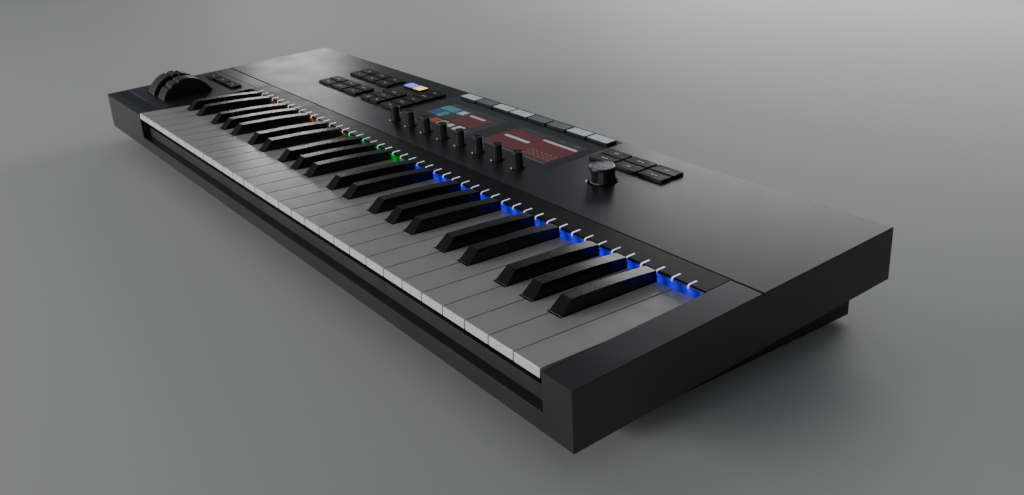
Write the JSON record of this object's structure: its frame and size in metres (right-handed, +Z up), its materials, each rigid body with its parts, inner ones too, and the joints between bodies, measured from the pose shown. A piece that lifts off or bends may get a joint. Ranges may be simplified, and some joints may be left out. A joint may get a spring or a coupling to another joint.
{
  "type": "midi keyboard",
  "caption": "Full-size-key controller keyboard with wheels, touch strip, colour displays, rotary knobs, a push encoder, lit key guide and rear jacks.",
  "frame": {"origin": "centre of the underside of the bounding box, in the plane that the feet stand on", "axes": "+X along the keys from low to high notes, +Y from the player to the back, +Z up"},
  "size_m": [0.828, 0.2958, 0.0846],
  "materials": {
    "case_aluminium": "satin anodised, fine blasted",
    "case_body": "satin powder coat",
    "base_plastic": "fine moulded texture",
    "steel": "zinc plated",
    "guide_plastic": "polished black",
    "light_acrylic": "frosted light pipe",
    "board": "solder mask",
    "display_glass": "polished",
    "screen": "liquid crystal panel",
    "strip_plastic": "satin",
    "socket_plastic": "moulded",
    "foot_rubber": "matte",
    "felt": "pressed wool",
    "key_white": "satin gloss",
    "key_black": "satin",
    "wheel_rubber": "soft touch",
    "button_rubber": "soft touch",
    "gimbal_acetal": "moulded acetal",
    "encoder_metal": "turned, satin anodised",
    "knob_plastic": "soft touch"
  },
  "bodies": {
    "case": {"upper_case": "case_body", "base_pan": "base_plastic", "case_screws": "steel", "top_panel": "case_aluminium", "left_panel": "case_aluminium", "right_cheek": "case_aluminium", "key_slip": "base_plastic", "light_guide": "guide_plastic", "light_pipes": "light_acrylic", "led_board": "board", "display_window": "display_glass", "display_modules": "screen", "control_boards": "board", "wheel_carriage": "base_plastic", "touch_strip": "strip_plastic", "knob_switches": "socket_plastic", "encoder_housing": "base_plastic", "rear_panel": "base_plastic", "usb_socket": "steel", "midi_sockets": "socket_plastic", "pedal_jacks": "socket_plastic", "rubber_feet": "foot_rubber", "keybed_frame": "steel", "key_felt": "felt", "contact_board": "board", "key_springs": "steel", "main_board": "board"},
    "keys_c": {"keys_c": "key_white"},
    "keys_c_sharp": {"keys_c_sharp": "key_black"},
    "keys_d": {"keys_d": "key_white"},
    "keys_d_sharp": {"keys_d_sharp": "key_black"},
    "keys_e": {"keys_e": "key_white"},
    "keys_f": {"keys_f": "key_white"},
    "keys_f_sharp": {"keys_f_sharp": "key_black"},
    "keys_g": {"keys_g": "key_white"},
    "keys_g_sharp": {"keys_g_sharp": "key_black"},
    "keys_a": {"keys_a": "key_white"},
    "keys_a_sharp": {"keys_a_sharp": "key_black"},
    "keys_b": {"keys_b": "key_white"},
    "pitch_wheel": {"pitch_wheel": "wheel_rubber"},
    "mod_wheel": {"mod_wheel": "wheel_rubber"},
    "transport_buttons": {"transport_buttons": "button_rubber"},
    "edit_buttons": {"edit_buttons": "button_rubber"},
    "preset_buttons": {"preset_buttons": "button_rubber"},
    "mode_buttons": {"mode_buttons": "button_rubber"},
    "browse_buttons": {"browse_buttons": "button_rubber"},
    "soft_keys": {"soft_keys": "button_rubber"},
    "octave_buttons": {"octave_buttons": "button_rubber"},
    "encoder_gimbal": {"encoder_gimbal": "gimbal_acetal"},
    "encoder_slider": {"encoder_slider": "gimbal_acetal"},
    "encoder_shaft": {"encoder_shaft": "steel"},
    "encoder_knob": {"encoder_knob": "encoder_metal"},
    "knob_1": {"knob_1": "knob_plastic"},
    "knob_2": {"knob_2": "knob_plastic"},
    "knob_3": {"knob_3": "knob_plastic"},
    "knob_4": {"knob_4": "knob_plastic"},
    "knob_5": {"knob_5": "knob_plastic"},
    "knob_6": {"knob_6": "knob_plastic"},
    "knob_7": {"knob_7": "knob_plastic"},
    "knob_8": {"knob_8": "knob_plastic"}
  },
  "joints": [
    {"name": "pitch_wheel_turn", "type": "hinge", "parent": "case", "child": "pitch_wheel", "pos_m": [-0.3725, -0.07857, 0.04892], "axis": [-1, 0, 0], "range_deg": [-45, 45], "stiffness_Nm_per_rad": 0.1},
    {"name": "mod_wheel_turn", "type": "hinge", "parent": "case", "child": "mod_wheel", "pos_m": [-0.3385, -0.07857, 0.04892], "axis": [-1, 0, 0], "range_deg": [0, 75]},
    {"name": "keys_c_press", "type": "hinge", "parent": "case", "child": "keys_c", "pos_m": [0, 0.05207, 0.0436], "axis": [1, 0, 0], "range_deg": [0, 2.9], "stiffness_Nm_per_rad": 8, "springref_deg": -4.3},
    {"name": "keys_c_sharp_press", "type": "hinge", "parent": "case", "child": "keys_c_sharp", "pos_m": [0, 0.05207, 0.0436], "axis": [1, 0, 0], "range_deg": [0, 2.9], "stiffness_Nm_per_rad": 6.4, "springref_deg": -4.3},
    {"name": "keys_d_press", "type": "hinge", "parent": "case", "child": "keys_d", "pos_m": [0, 0.05207, 0.0436], "axis": [1, 0, 0], "range_deg": [0, 2.9], "stiffness_Nm_per_rad": 6.4, "springref_deg": -4.3},
    {"name": "keys_d_sharp_press", "type": "hinge", "parent": "case", "child": "keys_d_sharp", "pos_m": [0, 0.05207, 0.0436], "axis": [1, 0, 0], "range_deg": [0, 2.9], "stiffness_Nm_per_rad": 6.4, "springref_deg": -4.3},
    {"name": "keys_e_press", "type": "hinge", "parent": "case", "child": "keys_e", "pos_m": [0, 0.05207, 0.0436], "axis": [1, 0, 0], "range_deg": [0, 2.9], "stiffness_Nm_per_rad": 6.4, "springref_deg": -4.3},
    {"name": "keys_f_press", "type": "hinge", "parent": "case", "child": "keys_f", "pos_m": [0, 0.05207, 0.0436], "axis": [1, 0, 0], "range_deg": [0, 2.9], "stiffness_Nm_per_rad": 6.4, "springref_deg": -4.3},
    {"name": "keys_f_sharp_press", "type": "hinge", "parent": "case", "child": "keys_f_sharp", "pos_m": [0, 0.05207, 0.0436], "axis": [1, 0, 0], "range_deg": [0, 2.9], "stiffness_Nm_per_rad": 6.4, "springref_deg": -4.3},
    {"name": "keys_g_press", "type": "hinge", "parent": "case", "child": "keys_g", "pos_m": [0, 0.05207, 0.0436], "axis": [1, 0, 0], "range_deg": [0, 2.9], "stiffness_Nm_per_rad": 6.4, "springref_deg": -4.3},
    {"name": "keys_g_sharp_press", "type": "hinge", "parent": "case", "child": "keys_g_sharp", "pos_m": [0, 0.05207, 0.0436], "axis": [1, 0, 0], "range_deg": [0, 2.9], "stiffness_Nm_per_rad": 6.4, "springref_deg": -4.3},
    {"name": "keys_a_press", "type": "hinge", "parent": "case", "child": "keys_a", "pos_m": [0, 0.05207, 0.0436], "axis": [1, 0, 0], "range_deg": [0, 2.9], "stiffness_Nm_per_rad": 6.4, "springref_deg": -4.3},
    {"name": "keys_a_sharp_press", "type": "hinge", "parent": "case", "child": "keys_a_sharp", "pos_m": [0, 0.05207, 0.0436], "axis": [1, 0, 0], "range_deg": [0, 2.9], "stiffness_Nm_per_rad": 6.4, "springref_deg": -4.3},
    {"name": "keys_b_press", "type": "hinge", "parent": "case", "child": "keys_b", "pos_m": [0, 0.05207, 0.0436], "axis": [1, 0, 0], "range_deg": [0, 2.9], "stiffness_Nm_per_rad": 6.4, "springref_deg": -4.3},
    {"name": "transport_buttons_press", "type": "slide", "parent": "case", "child": "transport_buttons", "axis": [0, 0.061, -0.9981], "range_m": [0, 0.0012], "stiffness_N_per_m": 2400, "springref_m": -0.0006},
    {"name": "edit_buttons_press", "type": "slide", "parent": "case", "child": "edit_buttons", "axis": [0, 0.061, -0.9981], "range_m": [0, 0.0012], "stiffness_N_per_m": 2400, "springref_m": -0.0006},
    {"name": "preset_buttons_press", "type": "slide", "parent": "case", "child": "preset_buttons", "axis": [0, 0.061, -0.9981], "range_m": [0, 0.0012], "stiffness_N_per_m": 2400, "springref_m": -0.0006},
    {"name": "mode_buttons_press", "type": "slide", "parent": "case", "child": "mode_buttons", "axis": [0, 0.061, -0.9981], "range_m": [0, 0.0012], "stiffness_N_per_m": 2000, "springref_m": -0.0006},
    {"name": "browse_buttons_press", "type": "slide", "parent": "case", "child": "browse_buttons", "axis": [0, 0.061, -0.9981], "range_m": [0, 0.0012], "stiffness_N_per_m": 2400, "springref_m": -0.0006},
    {"name": "soft_keys_press", "type": "slide", "parent": "case", "child": "soft_keys", "axis": [0, 0.061, -0.9981], "range_m": [0, 0.0012], "stiffness_N_per_m": 3200, "springref_m": -0.0006},
    {"name": "octave_buttons_press", "type": "slide", "parent": "case", "child": "octave_buttons", "axis": [0, 0.061, -0.9981], "range_m": [0, 0.0012], "stiffness_N_per_m": 1200, "springref_m": -0.0006},
    {"name": "encoder_tilt_front_back", "type": "hinge", "parent": "case", "child": "encoder_gimbal", "pos_m": [0.2095, 0.06734, 0.05975], "axis": [1, 0, 0], "range_deg": [-3, 3], "stiffness_Nm_per_rad": 0.8},
    {"name": "encoder_tilt_left_right", "type": "hinge", "parent": "encoder_gimbal", "child": "encoder_slider", "pos_m": [0.2095, 0.06734, 0.05975], "axis": [0, 0.9981, 0.061], "range_deg": [-3, 3], "stiffness_Nm_per_rad": 0.8},
    {"name": "encoder_push", "type": "slide", "parent": "encoder_slider", "child": "encoder_shaft", "axis": [0, 0.061, -0.9981], "range_m": [0, 0.0008], "stiffness_N_per_m": 1500, "springref_m": -0.0006},
    {"name": "encoder_turn", "type": "hinge", "parent": "encoder_shaft", "child": "encoder_knob", "pos_m": [0.2095, 0.06734, 0.05975], "axis": [0, -0.061, 0.9981], "continuous": true},
    {"name": "knob_1_turn", "type": "hinge", "parent": "case", "child": "knob_1", "pos_m": [-0.0594, 0.03782, 0.06896], "axis": [0, -0.061, 0.9981], "continuous": true},
    {"name": "knob_2_turn", "type": "hinge", "parent": "case", "child": "knob_2", "pos_m": [-0.0313, 0.03782, 0.06896], "axis": [0, -0.061, 0.9981], "continuous": true},
    {"name": "knob_3_turn", "type": "hinge", "parent": "case", "child": "knob_3", "pos_m": [-0.0032, 0.03782, 0.06896], "axis": [0, -0.061, 0.9981], "continuous": true},
    {"name": "knob_4_turn", "type": "hinge", "parent": "case", "child": "knob_4", "pos_m": [0.0249, 0.03782, 0.06896], "axis": [0, -0.061, 0.9981], "continuous": true},
    {"name": "knob_5_turn", "type": "hinge", "parent": "case", "child": "knob_5", "pos_m": [0.053, 0.03782, 0.06896], "axis": [0, -0.061, 0.9981], "continuous": true},
    {"name": "knob_6_turn", "type": "hinge", "parent": "case", "child": "knob_6", "pos_m": [0.0811, 0.03782, 0.06896], "axis": [0, -0.061, 0.9981], "continuous": true},
    {"name": "knob_7_turn", "type": "hinge", "parent": "case", "child": "knob_7", "pos_m": [0.1092, 0.03782, 0.06896], "axis": [0, -0.061, 0.9981], "continuous": true},
    {"name": "knob_8_turn", "type": "hinge", "parent": "case", "child": "knob_8", "pos_m": [0.1373, 0.03782, 0.06896], "axis": [0, -0.061, 0.9981], "continuous": true}
  ]
}
